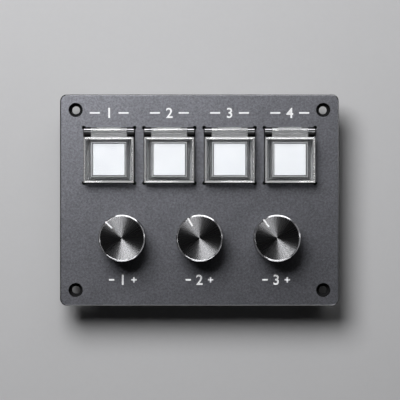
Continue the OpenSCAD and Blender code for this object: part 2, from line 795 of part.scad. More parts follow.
module knob(x, angle) {
    groove_l = knob_d / 2 - pointer_start + past;
    flat_x = shaft_d / 2 - shaft_flat;
    color([0.06, 0.06, 0.065]) translate([x, knob_y, 0]) rotate(angle) difference() {
        rotate_extrude() knob_profile();
        translate([0, 0, knob_z - past]) cylinder(r = nut_corner_r + hollow_gap, h = hollow_depth + past);
        translate([0, 0, knob_z]) flatted(shaft_d / 2 + fit_gap, bore_top - knob_z, flat_x - fit_gap);
        translate([flat_x, 0, face_z + set_screw_rise]) rotate([0, -90, 0])
            cylinder(r = set_screw_d / 2 + fit_gap, h = knob_d);
        translate([pointer_start, -pointer_w / 2, knob_top - pointer_depth])
            cube([groove_l, pointer_w, pointer_depth + past]);
    }
}

module knob_set_screw(x, angle) {
    color([0.3, 0.3, 0.32]) translate([x, knob_y, face_z + set_screw_rise]) rotate(angle)
        translate([shaft_d / 2 - shaft_flat, 0, 0]) rotate([0, -90, 0]) difference() {
            cylinder(d = set_screw_d, h = set_screw_l);
            translate([0, 0, set_screw_l - set_screw_key_depth])
                cylinder(d = set_screw_key / cos(30), h = set_screw_key_depth + past, $fn = 6);
        }
}

// ---- the assembly ----

front_panel();
rear_housing();
rubber_feet();
housing_screws();
board_standoffs();
main_board();
controller_chip();
chip_capacitors();
cable_socket();
key_lamps();
encoder_washers();
encoder_nuts();
for (i = [0 : key_count - 1]) {
    x = key_xs[i];
    n = i + 1;
    key_frame(x);
    switch_base(x);
    return_spring(x);
    key_plunger(x);
    key_diffuser(x);
    key_lens(x);
    hinge_pin(x);
    flip_cover(x);
}
for (i = [0 : knob_count - 1]) {
    x = knob_xs[i];
    n = i + 1;
    angle = pointer_angles[i];
    encoder_body(x);
    encoder_rotor(x, angle);
    encoder_shaft(x, angle);
    knob(x, angle);
    knob_set_screw(x, angle);
}
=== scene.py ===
"""Looks of a macro keypad: lit keys under clear flip covers and push knobs on a metal panel.

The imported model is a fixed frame, and every piece here takes its place and size from it.
Lengths are metres, +Z points out of the panel's face and +Y towards the covers' hinges.
"""
import logging
import math
from dataclasses import dataclass, field, replace
from enum import Enum
from typing import Callable, Iterable, Optional, Sequence, Union

import bmesh
import bpy
from mathutils import Matrix, Vector


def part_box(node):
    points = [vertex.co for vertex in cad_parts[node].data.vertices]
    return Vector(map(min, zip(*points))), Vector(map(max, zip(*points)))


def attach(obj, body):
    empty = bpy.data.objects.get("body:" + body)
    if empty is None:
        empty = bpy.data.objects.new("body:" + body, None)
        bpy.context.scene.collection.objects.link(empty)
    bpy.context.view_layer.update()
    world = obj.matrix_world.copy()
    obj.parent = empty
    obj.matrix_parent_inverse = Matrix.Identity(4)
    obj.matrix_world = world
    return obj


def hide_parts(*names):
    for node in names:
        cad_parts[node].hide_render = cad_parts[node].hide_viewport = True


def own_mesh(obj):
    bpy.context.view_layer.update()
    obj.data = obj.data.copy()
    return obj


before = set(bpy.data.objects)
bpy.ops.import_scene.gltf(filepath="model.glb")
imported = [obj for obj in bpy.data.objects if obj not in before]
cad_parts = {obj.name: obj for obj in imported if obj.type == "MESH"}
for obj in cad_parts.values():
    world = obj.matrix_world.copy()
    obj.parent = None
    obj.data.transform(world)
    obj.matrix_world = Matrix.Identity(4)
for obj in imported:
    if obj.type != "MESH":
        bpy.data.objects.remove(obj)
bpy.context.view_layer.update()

Color = tuple[float, float, float]
Node, Socket, NodeTree = bpy.types.Node, bpy.types.NodeSocket, bpy.types.NodeTree
BMesh, BMVert = bmesh.types.BMesh, bmesh.types.BMVert
Value = Union[Socket, float, Sequence[float]]

LOG = logging.getLogger("keypad")
KEY_NUMBERS = range(1, 5)
KNOB_NUMBERS = range(1, 4)
MM = 0.001
MERGE = 0.001 * MM  # corners nearer than this are one
SEAM = 0.0001 * MM  # the same on a spun piece
SLACK = 0.01 * MM  # room for the last digits when places are compared
FLAT = 0.5  # degrees that two faces may fold and still be joined
LEVEL = 0.95  # a normal's Z from which a face counts as level
SLOPED = 0.3  # a normal's Z from which a face counts as sloping
HALFWAY = 0.5  # a normal's part along an axis from which a face counts as facing that way
WORN = "worn"
TURNING_MAP = "turning"
BACKDROP: Color = (0.48, 0.48, 0.49)
WHITE: Color = (1.0, 1.0, 1.0)


# ---------------------------------------------------------------- node wiring


class Wiring:
    """Adds and links the nodes of one tree."""

    def __init__(self, tree: NodeTree) -> None:
        """Starts with an empty tree.

        Args:
            tree: The node tree of a material, the world or a group.
        """
        self.tree = tree
        tree.nodes.clear()

    def link(self, start: Socket, end: Socket) -> None:
        """Links an output to an input."""
        self.tree.links.new(start, end)

    def add(self, kind: str, inputs: Optional[dict] = None, **settings) -> Node:
        """Adds a node.

        Args:
            kind: Blender's name of the node's type, without the word ShaderNode.
            inputs: Numbers, colours or sockets for its inputs, by name or number.
            settings: Values for the node's own properties.

        Returns:
            The new node.
        """
        node = self.tree.nodes.new("ShaderNode" + kind)
        for name, value in settings.items():
            setattr(node, name, value)
        for name, value in (inputs or {}).items():
            socket = node.inputs[name]
            if isinstance(value, Socket):
                self.link(value, socket)
            else:
                socket.default_value = (*value, 1.0) if socket.type == "RGBA" else value
        return node

    def math(self, operation: str, first: Value, second: Value) -> Socket:
        """Adds a Math node and returns its result."""
        return self.add("Math", {0: first, 1: second}, operation=operation).outputs[0]

    def remap(self, value: Socket, low: float, high: float,
              to_low: float = 0.0, to_high: float = 1.0) -> Socket:
        """Adds a clamped Map Range node and returns its result."""
        return self.add("MapRange", {"Value": value, "From Min": low, "From Max": high,
                                     "To Min": to_low, "To Max": to_high}).outputs[0]

    def mix(self, share: Value, first: Value, second: Value) -> Socket:
        """Mixes two colours, of which the second shows by the share, and returns the mixed one."""
        return self.add("Mix", {0: share, 6: first, 7: second}, data_type="RGBA").outputs[2]

    def mix_shaders(self, share: Socket, first: Node, second: Node) -> Socket:
        """Mixes two shaders, of which the second shows by the share, and returns the mixed one."""
        return self.add("MixShader", {0: share, 1: first.outputs[0], 2: second.outputs[0]}).outputs[0]

    def noise(self, place: Socket, scale: float = 1.0, detail: float = 2.0, roughness: float = 0.6,
              distortion: float = 0.0) -> Socket:
        """Adds a noise pattern and returns its values."""
        return self.add("TexNoise", {"Vector": place, "Scale": scale, "Detail": detail,
                                     "Roughness": roughness, "Distortion": distortion}).outputs[0]

    def vector(self, operation: str, first: Socket, inputs: Optional[dict] = None) -> Node:
        """Adds a Vector Math node."""
        return self.add("VectorMath", {0: first, **(inputs or {})}, operation=operation)

    def bump(self, depth: float, height: Socket) -> Socket:
        """Adds a Bump node and returns its normal."""
        return self.add("Bump", {"Strength": 1.0, "Distance": depth, "Height": height}).outputs[0]

    def effect(self, effect: "Effect", **inputs: Value) -> Node:
        """Adds the group of a shared effect."""
        return self.add("Group", inputs, node_tree=effect.tree())

    def seen(self) -> Socket:
        """Tells the rays that show the backdrop: the camera's, and those through glass or off metal.

        Returns:
            A number that is 1 for them and 0 for others.
        """
        rays = self.add("LightPath").outputs
        direct = self.math("MAXIMUM", rays["Is Camera Ray"], rays["Is Transmission Ray"])
        return self.math("MAXIMUM", direct, rays["Is Glossy Ray"])


class MaterialWiring(Wiring):
    """Wires a material round its Principled shader, with its patterns laid on the object's own place."""

    def __init__(self, tree: NodeTree) -> None:
        """Starts with the shader and the place.

        Args:
            tree: The material's node tree.
        """
        super().__init__(tree)
        self.shader = self.add("BsdfPrincipled")
        self.place = self.add("TexCoord").outputs["Object"]

    def feed(self, name: str, value: Value) -> None:
        """Gives one of the shader's inputs a value.

        Args:
            name: The input's name.
            value: A socket to link to it, or a constant.
        """
        if isinstance(value, Socket):
            self.link(value, self.shader.inputs[name])
        else:
            self.shader.inputs[name].default_value = value


class GroupWiring(Wiring):
    """Wires a shader node group that takes a Vector and a length, and gives numbers."""

    def __init__(self, name: str, length: str, default: float, outputs: Sequence[str]) -> None:
        """Makes the group and its sockets.

        Args:
            name: The group's name.
            length: The name of its length input.
            default: That input's default in metres.
            outputs: Names of its outputs.
        """
        super().__init__(bpy.data.node_groups.new(name, "ShaderNodeTree"))
        face = self.tree.interface
        face.new_socket("Vector", in_out="INPUT", socket_type="NodeSocketVector")
        face.new_socket(length, in_out="INPUT", socket_type="NodeSocketFloat").default_value = default
        for output in outputs:
            face.new_socket(output, in_out="OUTPUT", socket_type="NodeSocketFloat")
        self.start = self.tree.nodes.new("NodeGroupInput")
        self.end = self.tree.nodes.new("NodeGroupOutput")

    def scaled(self) -> Socket:
        """Returns the Vector, counted in lengths of Size."""
        rate = self.math("DIVIDE", 1.0, self.start.outputs["Size"])
        return self.vector("SCALE", self.start.outputs["Vector"], {"Scale": rate}).outputs[0]

    def give(self, output: str, value: Socket) -> None:
        """Links a value to the group's output of that name."""
        self.link(value, self.end.inputs[output])


def build_grain() -> NodeTree:
    """Makes the grain group: fine bumps of a blasted, moulded or cast skin.

    Returns:
        A group whose Size is the width of a grain in metres.
    """
    wire = GroupWiring(Effect.GRAIN.value, "Size", 0.3 * MM, ("Tint", "Height"))
    place = wire.scaled()
    fine = wire.noise(place)
    broad = wire.noise(place, scale=0.31, roughness=0.5)
    both = wire.math("ADD", wire.math("MULTIPLY", fine, 0.6), wire.math("MULTIPLY", broad, 0.4))
    wire.give("Tint", wire.remap(both, 0.32, 0.68))
    wire.give("Height", fine)
    return wire.tree


def build_handling() -> NodeTree:
    """Makes the handling group: broad patches where a surface is a little more or less worn.

    Returns:
        A group whose Size is the width of a patch in metres.
    """
    wire = GroupWiring(Effect.HANDLING.value, "Size", 12 * MM, ("Patch", "Scratch"))
    place = wire.scaled()
    patch = wire.noise(place, detail=4.0, roughness=0.55, distortion=0.6)
    long_way = wire.add("Mapping", {"Vector": place, "Rotation": (0.0, 0.0, 0.6), "Scale": (2.0, 60.0, 2.0)})
    streak = wire.noise(long_way.outputs[0], detail=3.0, roughness=0.7)
    wire.give("Patch", wire.remap(patch, 0.3, 0.7))
    wire.give("Scratch", wire.remap(streak, 0.66, 0.74))
    return wire.tree


def build_turning() -> NodeTree:
    """Makes the turning group: the tool's rings and the light and dark rays of a spun face.

    Returns:
        A group that expects a Vector measured from the turned piece's axis.
    """
    wire = GroupWiring(Effect.TURNING.value, "Pitch", 0.06 * MM, ("Ring", "Ray"))
    flat = wire.vector("MULTIPLY", wire.start.outputs["Vector"], {1: (1.0, 1.0, 0.0)}).outputs[0]
    radius = wire.vector("LENGTH", flat).outputs["Value"]
    turns = wire.math("DIVIDE", radius, wire.start.outputs["Pitch"])
    ring = wire.add("TexNoise", {"W": turns, "Scale": 1.0, "Detail": 2.0, "Roughness": 0.7},
                    noise_dimensions="1D")
    ray = wire.noise(wire.vector("NORMALIZE", flat).outputs[0], scale=13.0, detail=4.0, roughness=0.65)
    wire.give("Ring", ring.outputs[0])
    wire.give("Ray", wire.remap(ray, 0.3, 0.7))
    return wire.tree


def build_wear() -> NodeTree:
    """Makes the wear group: a broken mask along the rounded edges that the pieces mark.

    Returns:
        A group whose Mask is 1 where an edge is rubbed.
    """
    wire = GroupWiring(Effect.WEAR.value, "Size", 1.5 * MM, ("Mask",))
    broken = wire.noise(wire.scaled(), detail=3.0)
    edge = wire.add("Attribute", attribute_name=WORN).outputs["Fac"]
    wire.give("Mask", wire.math("MULTIPLY", edge, wire.remap(broken, 0.35, 0.65, 0.2)))
    return wire.tree


class Effect(Enum):
    """The shared effects, each a node group that is built once."""

    GRAIN = "grain"
    HANDLING = "handling"
    TURNING = "turning"
    WEAR = "edge wear"

    def tree(self) -> NodeTree:
        """Builds the effect's node group, the first time that it is asked for.

        Returns:
            The group.
        """
        builders: dict[Effect, Callable[[], NodeTree]] = {
            Effect.GRAIN: build_grain, Effect.HANDLING: build_handling,
            Effect.TURNING: build_turning, Effect.WEAR: build_wear}
        return bpy.data.node_groups.get(self.value) or builders[self]()


# ---------------------------------------------------------------- finishes


@dataclass(frozen=True)
class Finish:
    """A surface finish with grain, worn patches and rubbed edges.

    The grain's width and depth are millimetres. Colours are linear red, green and blue.
    """

    name: str
    color: Color
    metallic: float = 0.0
    roughness: float = 0.5
    roughness_spread: float = 0.06
    grain: tuple[float, float] = (0.3, 0.02)
    tint_spread: float = 0.08
    edge_color: Optional[Color] = None
    edge_share: float = 0.5
    ior: float = 1.5
    specular: float = 0.5

    def base_color(self, wire: MaterialWiring, tint: Socket) -> Socket:
        """Mixes the written colour with its grain and its rubbed edges.

        Args:
            wire: The material's wiring.
            tint: The grain's mask.

        Returns:
            The colour's socket.
        """
        dark = tuple(c * (1.0 - self.tint_spread) for c in self.color)
        light = tuple(min(1.0, c * (1.0 + self.tint_spread)) for c in self.color)
        color = wire.mix(tint, dark, light)
        if self.edge_color is None:
            return color
        worn = wire.effect(Effect.WEAR, Vector=wire.place).outputs["Mask"]
        return wire.mix(wire.math("MULTIPLY", worn, self.edge_share), color, self.edge_color)

    def gloss(self, wire: MaterialWiring, patches: Node) -> Socket:
        """Returns the roughness, which changes a little from patch to patch."""
        return wire.remap(patches.outputs["Patch"], 0.0, 1.0, self.roughness - self.roughness_spread,
                          self.roughness + self.roughness_spread)

    def dress(self, wire: MaterialWiring) -> None:
        """Wires colour, roughness and bump into the Principled shader.

        Args:
            wire: The material's wiring.
        """
        grain = wire.effect(Effect.GRAIN, Vector=wire.place, Size=self.grain[0] * MM).outputs
        patches = wire.effect(Effect.HANDLING, Vector=wire.place)
        wire.feed("Base Color", self.base_color(wire, grain["Tint"]))
        wire.feed("Roughness", self.gloss(wire, patches))
        wire.feed("Normal", wire.bump(self.grain[1] * MM, grain["Height"]))

    def surface(self, wire: MaterialWiring) -> Socket:
        """Returns the shader socket that the material shows."""
        return wire.shader.outputs[0]

    def material(self) -> bpy.types.Material:
        """Builds the finish's material, the first time that it is asked for.

        Returns:
            The material.
        """
        made = bpy.data.materials.get(self.name)
        if made:
            return made
        made = bpy.data.materials.new(self.name)
        made.use_nodes = True
        wire = MaterialWiring(made.node_tree)
        wire.feed("Metallic", self.metallic)
        wire.feed("IOR", self.ior)
        wire.feed("Specular IOR Level", self.specular)
        self.dress(wire)
        wire.add("OutputMaterial", {0: self.surface(wire)})
        return made


@dataclass(frozen=True)
class ClearPlastic(Finish):
    """Clear moulded plastic with a faint haze, hairline scratches and a painted glow that stands in for the
    light it guides from the lit key.
    """

    clearness: float = 1.0
    scratch_haze: float = 0.06
    lamp_share: float = 0.0
    glow: float = 0.0

    def gloss(self, wire: MaterialWiring, patches: Node) -> Socket:
        """Returns the haze, with the scratches over it."""
        scratches = wire.math("MULTIPLY", patches.outputs["Scratch"], self.scratch_haze)
        return wire.math("ADD", super().gloss(wire, patches), scratches)

    def dress(self, wire: MaterialWiring) -> None:
        """Makes the finish clear and gives it its painted glow.

        Args:
            wire: The material's wiring.
        """
        super().dress(wire)
        wire.feed("Transmission Weight", self.clearness)
        wire.feed("Emission Color", (*WHITE, 1.0))
        wire.feed("Emission Strength", self.glow)

    def surface(self, wire: MaterialWiring) -> Socket:
        """Lets the lamps' light through, by lamp_share at each face, where that share isn't 0.

        Args:
            wire: The material's wiring.

        Returns:
            The shader socket that the material shows.
        """
        if self.lamp_share == 0.0:
            return wire.shader.outputs[0]
        passed = wire.add("BsdfTransparent", {"Color": (self.lamp_share,) * 3})
        return wire.mix_shaders(wire.add("LightPath").outputs["Is Shadow Ray"], wire.shader, passed)


@dataclass(frozen=True)
class FloorPaint(Finish):
    """Pale floor paint that keeps one plain colour far from the object, where the lamps' light fades."""

    plain_from: float = 0.3
    plain_to: float = 0.8

    def surface(self, wire: MaterialWiring) -> Socket:
        """Fades to the backdrop's colour with the distance from the object.

        Args:
            wire: The material's wiring.

        Returns:
            The shader socket that the material shows.
        """
        reach = wire.vector("LENGTH", wire.place).outputs["Value"]
        share = wire.math("MULTIPLY", wire.seen(), wire.remap(reach, self.plain_from, self.plain_to))
        return wire.mix_shaders(share, wire.shader, wire.add("Emission", {0: BACKDROP, 1: 1.0}))


@dataclass(frozen=True)
class LitPlastic(Finish):
    """Milky plastic, ink or enamel with a glow, in patches that are a little dimmer. The diffuser's glow is
    the key's own light; the glow of lens edges, ink and enamel is painted light.
    """

    glow: float = 1.0
    dim: Color = (0.93, 0.935, 0.95)
    patch: float = 9 * MM

    def dress(self, wire: MaterialWiring) -> None:
        """Adds the glow to the plain finish.

        Args:
            wire: The material's wiring.
        """
        super().dress(wire)
        patches = wire.effect(Effect.HANDLING, Vector=wire.place, Size=self.patch)
        wire.feed("Emission Color", wire.mix(patches.outputs["Patch"], self.dim, WHITE))
        wire.feed("Emission Strength", self.glow)


@dataclass(frozen=True)
class SpunMetal(Finish):
    """Metal turned on a lathe, with its rings round a vertical axis."""

    axis: tuple[float, float] = (0.0, 0.0)
    pitch: float = 0.12 * MM
    ring_depth: float = 0.002 * MM
    ring_share: float = 0.25
    anisotropy: float = 0.0
    stretch_turn: float = 0.25
    ray_spread: float = 0.0

    def dress(self, wire: MaterialWiring) -> None:
        """Wires rings, rays and the stretched highlight of a spun face.

        Args:
            wire: The material's wiring.
        """
        offset = (-self.axis[0], -self.axis[1], 0.0)
        centred = wire.add("Mapping", {"Vector": wire.place, "Location": offset}).outputs[0]
        turned = wire.effect(Effect.TURNING, Vector=centred, Pitch=self.pitch).outputs
        shade = wire.math("ADD", wire.math("MULTIPLY", turned["Ray"], 1.0 - self.ring_share),
                          wire.math("MULTIPLY", turned["Ring"], self.ring_share))
        rough = wire.remap(turned["Ray"], 0.0, 1.0, self.roughness + self.ray_spread,
                           self.roughness - self.ray_spread)
        wire.feed("Base Color", self.base_color(wire, shade))
        wire.feed("Roughness", rough)
        wire.feed("Normal", wire.bump(self.ring_depth, turned["Ring"]))
        if self.anisotropy > 0.0:
            wire.feed("Anisotropic", self.anisotropy)
            wire.feed("Anisotropic Rotation", self.stretch_turn)
            tangent = wire.add("Tangent", direction_type="UV_MAP", uv_map=TURNING_MAP)
            wire.feed("Tangent", tangent.outputs[0])


# ---------------------------------------------------------------- meshes


def add_object(name: str, data: bpy.types.ID) -> bpy.types.Object:
    """Puts an object into the scene, at the origin.

    Args:
        name: The object's name.
        data: Its mesh, curve, light or camera.

    Returns:
        The new object.
    """
    made = bpy.data.objects.new(name, data)
    bpy.context.scene.collection.objects.link(made)
    return made


def add_mesh(name: str, bm: BMesh) -> bpy.types.Object:
    """Puts a bmesh into the scene as an object.

    Args:
        name: The object's name.
        bm: Its mesh; it is freed.

    Returns:
        The new object.
    """
    mesh = bpy.data.meshes.new(name)
    bm.to_mesh(mesh)
    bm.free()
    return add_object(name, mesh)


def mesh_of(node: str) -> BMesh:
    """Copies a CAD node's mesh, merged and with its flat faces joined.

    Args:
        node: The node's name.

    Returns:
        A new bmesh, in the row frame.
    """
    bm = bmesh.new()
    bm.from_mesh(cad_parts[node].data)
    bmesh.ops.remove_doubles(bm, verts=bm.verts, dist=MERGE)
    bmesh.ops.dissolve_limit(bm, angle_limit=math.radians(FLAT), verts=bm.verts, edges=bm.edges)
    return bm


def round_edges(bm: BMesh, width: float, segments: int = 2, angle: float = 25.0) -> None:
    """Bevels the sharp edges and marks the new faces as worn.

    Args:
        bm: The mesh to change.
        width: The bevel's offset in metres.
        segments: Faces across a bevel.
        angle: Edges that fold less than this many degrees stay.
    """
    layer = bm.faces.layers.float.get(WORN) or bm.faces.layers.float.new(WORN)
    limit = math.radians(angle)
    sharp = [e for e in bm.edges if len(e.link_faces) == 2 and e.calc_face_angle(0.0) > limit]
    made = bmesh.ops.bevel(bm, geom=sharp, offset=width, segments=segments, profile=0.5,
                           affect="EDGES", material=-1, clamp_overlap=True)
    for face in made["faces"]:
        face[layer] = 1.0


def add_block(bm: BMesh, size: Sequence[float], spot: Sequence[float]) -> list[BMVert]:
    """Adds a block to a mesh.

    Args:
        bm: The mesh that it joins.
        size: Its size along X, Y and Z.
        spot: Its middle.

    Returns:
        Its corners.
    """
    corners = bmesh.ops.create_cube(bm, size=1.0)["verts"]
    bmesh.ops.scale(bm, verts=corners, vec=size)
    bmesh.ops.translate(bm, verts=corners, vec=spot)
    return corners


def finish_piece(name: str, bm: BMesh, body: str, finishes: Iterable[Finish], slot: Optional[str] = None,
                 replaces: Sequence[str] = (), sharp: float = 35.0) -> bpy.types.Object:
    """Turns a bmesh into a piece of the object.

    Args:
        name: The piece's name.
        bm: Its mesh in the row frame; it is freed.
        body: The CAD body that it rides on.
        finishes: Its finishes, in the order of its faces' material numbers.
        slot: The record's material slot; it is not used.
        replaces: The CAD nodes that it stands for.
        sharp: Edges that fold more than this many degrees are shaded sharp.

    Returns:
        The new object.
    """
    piece = add_mesh(name, bm)
    mesh = piece.data
    mesh.shade_smooth()
    mesh.set_sharp_from_angle(angle=math.radians(sharp))
    for finish in finishes:
        mesh.materials.append(finish.material())
    weights = piece.modifiers.new("flat faces stay flat", "WEIGHTED_NORMAL")
    weights.keep_sharp = True
    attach(piece, body)
    if replaces:
        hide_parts(*replaces)
    LOG.info("%s: %d faces on %s", name, len(mesh.polygons), body)
    return piece


def soften_node(node: str, piece: str, body: str, finish: Finish, slot: str, width: float) -> None:
    """Replaces a CAD node with a copy that has rounded edges.

    Args:
        node: The node's name.
        piece: The new piece's name.
        body: The CAD body that it rides on.
        finish: The piece's finish.
        slot: The record's material slot.
        width: The bevel's offset in metres.
    """
    bm = mesh_of(node)
    round_edges(bm, width)
    finish_piece(piece, bm, body, (finish,), slot, (node,))


def dress_node(node: str, finish: Finish) -> None:
    """Gives a finish to a CAD node that keeps its shape.

    Args:
        node: The node's name.
        finish: Its finish.
    """
    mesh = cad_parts[node].data
    if not mesh.materials:
        mesh.materials.append(None)
    for number in range(len(mesh.materials)):
        mesh.materials[number] = finish.material()


def middle(node: str) -> Vector:
    """Returns the middle of a CAD node's box."""
    low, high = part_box(node)
    return (low + high) / 2


def spin_profile(points: Sequence[tuple[float, float]], steps: int) -> BMesh:
    """Spins an outline round the Z axis.

    Args:
        points: Radius and height of each corner, from the axis and back to it.
        steps: Faces round the piece.

    Returns:
        A closed mesh on the Z axis.
    """
    bm = bmesh.new()
    verts = [bm.verts.new((r, 0.0, z)) for r, z in points]
    edges = [bm.edges.new(pair) for pair in zip(verts, verts[1:])]
    bmesh.ops.spin(bm, geom=verts + edges, cent=(0, 0, 0), axis=(0, 0, 1), angle=math.tau,
                   steps=steps, use_merge=True)
    bmesh.ops.remove_doubles(bm, verts=bm.verts, dist=SEAM)
    bmesh.ops.recalc_face_normals(bm, faces=bm.faces)
    return bm


# ---------------------------------------------------------------- finishes of this keypad

BLASTED_PANEL = Finish(
    "panel aluminium", (0.196, 0.199, 0.222), metallic=0.845, roughness=0.346, roughness_spread=0.015,
    grain=(0.26, 0.006), tint_spread=0.5, edge_color=(0.45, 0.45, 0.46), edge_share=0.3)
PANEL_CHAMFER = Finish(
    "cut panel chamfer", (0.06, 0.061, 0.064), metallic=1.0, roughness=0.17, roughness_spread=0.02,
    grain=(0.2, 0.002), tint_spread=0.2)
# Near-black finish for the walls of the panel's holes: painted shade in the recesses.
PANEL_HOLE_WALLS_PAINTED_SHADE = Finish(
    "panel hole walls painted shade", (0.006, 0.006, 0.007), roughness=0.7, grain=(0.4, 0.004), specular=0.2)
HOUSING = Finish(
    "housing plastic", (0.022, 0.022, 0.024), roughness=0.55, grain=(0.45, 0.03),
    edge_color=(0.06, 0.06, 0.065))
RUBBER = Finish("foot rubber", (0.014, 0.014, 0.014), roughness=0.8, grain=(0.6, 0.02))
BLACK_STEEL = Finish(
    "black steel", (0.03, 0.03, 0.032), metallic=0.9, roughness=0.38, grain=(0.2, 0.004),
    edge_color=(0.25, 0.25, 0.25))
FRAME_PLASTIC = Finish(
    "key frame plastic", (0.006, 0.006, 0.007), roughness=0.6, grain=(0.3, 0.01),
    edge_color=(0.02, 0.02, 0.02), specular=0.25)
# Pale grey on the black frame's land under the cover: painted light.
FRAME_LAND_PAINTED_LIGHT = Finish("frame land painted light", (0.42, 0.42, 0.43), roughness=0.4, grain=(0.3, 0.01))
SWITCH_PLASTIC = Finish(
    "switch plastic", (0.012, 0.012, 0.013), roughness=0.45, roughness_spread=0.05, grain=(0.25, 0.004),
    edge_color=(0.04, 0.04, 0.04))
# A paler copy of the switch plastic for the bezel: painted light under the cover.
BEZEL_PAINTED_LIGHT = replace(
    SWITCH_PLASTIC, name="bezel plastic painted light", color=(0.16, 0.16, 0.165), edge_color=(0.2, 0.2, 0.2))
CLEAR_COVER = ClearPlastic(
    "clear cover", (0.94, 0.955, 0.965), roughness=0.09, roughness_spread=0.02, grain=(9.0, 0.004),
    tint_spread=0.01, ior=1.58, lamp_share=0.9)
COVER_EDGE = ClearPlastic(
    "cover edge", (0.9, 0.91, 0.92), roughness=0.15, roughness_spread=0.03, grain=(0.5, 0.001),
    tint_spread=0.03, ior=1.58, clearness=0.76)
# Front chamfer with a painted glow, lighter than the other chamfers.
COVER_NOSE_PAINTED_GLOW = replace(COVER_EDGE, name="cover front edge painted glow", glow=0.31)
# Grey tint of the clear walls: painted shade on them and on what is seen through them. The side walls take it
# too, under their painted glow.
COVER_WALL_PAINTED_SHADE = ClearPlastic(
    "cover wall painted shade", (0.5, 0.505, 0.515), roughness=0.2, roughness_spread=0.04, grain=(2.0, 0.003),
    tint_spread=0.02, ior=1.58, clearness=0.92)
# Side and rear walls with a painted glow, lighter than the front wall, which is left in painted shade.
COVER_SIDE_PAINTED_GLOW = replace(COVER_WALL_PAINTED_SHADE, name="cover side wall painted glow", glow=0.045)
COVER_TONGUE = ClearPlastic(
    "cover tongue", (0.8, 0.81, 0.82), roughness=0.13, roughness_spread=0.02, grain=(0.8, 0.002),
    tint_spread=0.03, ior=1.85, clearness=0.72)
TONGUE_REAR = replace(COVER_TONGUE, name="matt rear of the cover tongue", roughness=0.6, clearness=0.97)
CLEAR_LENS = ClearPlastic(
    "clear lens", (0.95, 0.96, 0.97), roughness=0.12, roughness_spread=0.04, grain=(8.0, 0.003),
    tint_spread=0.01, ior=1.58, lamp_share=0.92)
LENS_EDGE_PAINTED_GLOW = LitPlastic(
    "lens edge painted glow", (0.3, 0.3, 0.31), roughness=0.3, grain=(0.4, 0.002), tint_spread=0.05, glow=0.22)
DIFFUSER = LitPlastic("lit diffuser", (0.4, 0.4, 0.41), grain=(0.6, 0.003), tint_spread=0.02, glow=0.6)
CHROME = Finish(
    "pin chrome", (0.6, 0.6, 0.615), metallic=0.5, roughness=0.34, roughness_spread=0.04, grain=(0.5, 0.002),
    tint_spread=0.03)
# Dark finish inside the pin's bore: painted shade seen through its slot.
PIN_BORE_PAINTED_SHADE = Finish("pin bore painted shade", (0.02, 0.02, 0.021), metallic=0.6, roughness=0.6, grain=(0.3, 0.002))
WHITE_INK = Finish("white ink", (0.92, 0.92, 0.94), grain=(0.15, 0.004), tint_spread=0.05)
# Knob number ink with a painted glow, brighter than the plain white ink.
KNOB_INK_PAINTED_GLOW = LitPlastic("knob number ink painted glow", (0.92, 0.92, 0.94), grain=(0.15, 0.004), tint_spread=0.05, glow=0.2)
# Pointer filling with a painted glow.
POINTER_ENAMEL_PAINTED_GLOW = LitPlastic(
    "pointer enamel painted glow", (0.93, 0.93, 0.945), roughness=0.3, grain=(0.3, 0.002), tint_spread=0.02, glow=0.16)
BLACK_ANODISED = Finish(
    "black anodised sides", (0.012, 0.012, 0.013), metallic=0.5, roughness=0.36, grain=(0.15, 0.003),
    edge_color=(0.2, 0.2, 0.2), edge_share=0.2)
CUT_RIM = SpunMetal(
    "bright cut rim", (0.16, 0.16, 0.165), metallic=1.0, roughness=0.16, tint_spread=0.1, ray_spread=0.03)
SPUN_FACE = SpunMetal(
    "spun black face", (0.29, 0.29, 0.3), metallic=1.0, roughness=0.271, tint_spread=0.12, anisotropy=0.926,
    ray_spread=0.01, ring_depth=0.0001 * MM)
BOARD = Finish("board laminate", (0.004, 0.016, 0.009), roughness=0.35, grain=(0.8, 0.01))
CHIP = Finish("chip resin", (0.02, 0.02, 0.021), roughness=0.6, grain=(0.1, 0.003))
CERAMIC = Finish("capacitor ceramic", (0.36, 0.24, 0.12), grain=(0.2, 0.02))
BRASS = Finish("standoff brass", (0.7, 0.5, 0.2), metallic=1.0, roughness=0.3, grain=(0.3, 0.002))
PLATED = Finish("plated steel", (0.62, 0.62, 0.64), metallic=1.0, roughness=0.28, grain=(0.3, 0.003))
SPRING = Finish("spring wire", (0.5, 0.5, 0.52), metallic=1.0, roughness=0.25, grain=(0.15, 0.002))
LAMP = Finish("lamp resin", (0.85, 0.75, 0.4), roughness=0.3, grain=(0.5, 0.02))
ROTOR = Finish("rotor plastic", (0.05, 0.05, 0.05))
GOLD = Finish("contact gold", (0.85, 0.6, 0.25), metallic=1.0, roughness=0.25, grain=(0.2, 0.002))
FLOOR_PAINT = FloorPaint(
    "floor paint", (0.55, 0.55, 0.56), roughness=0.9, grain=(2.0, 0.01), tint_spread=0.01)


# ---------------------------------------------------------------- sub-assemblies


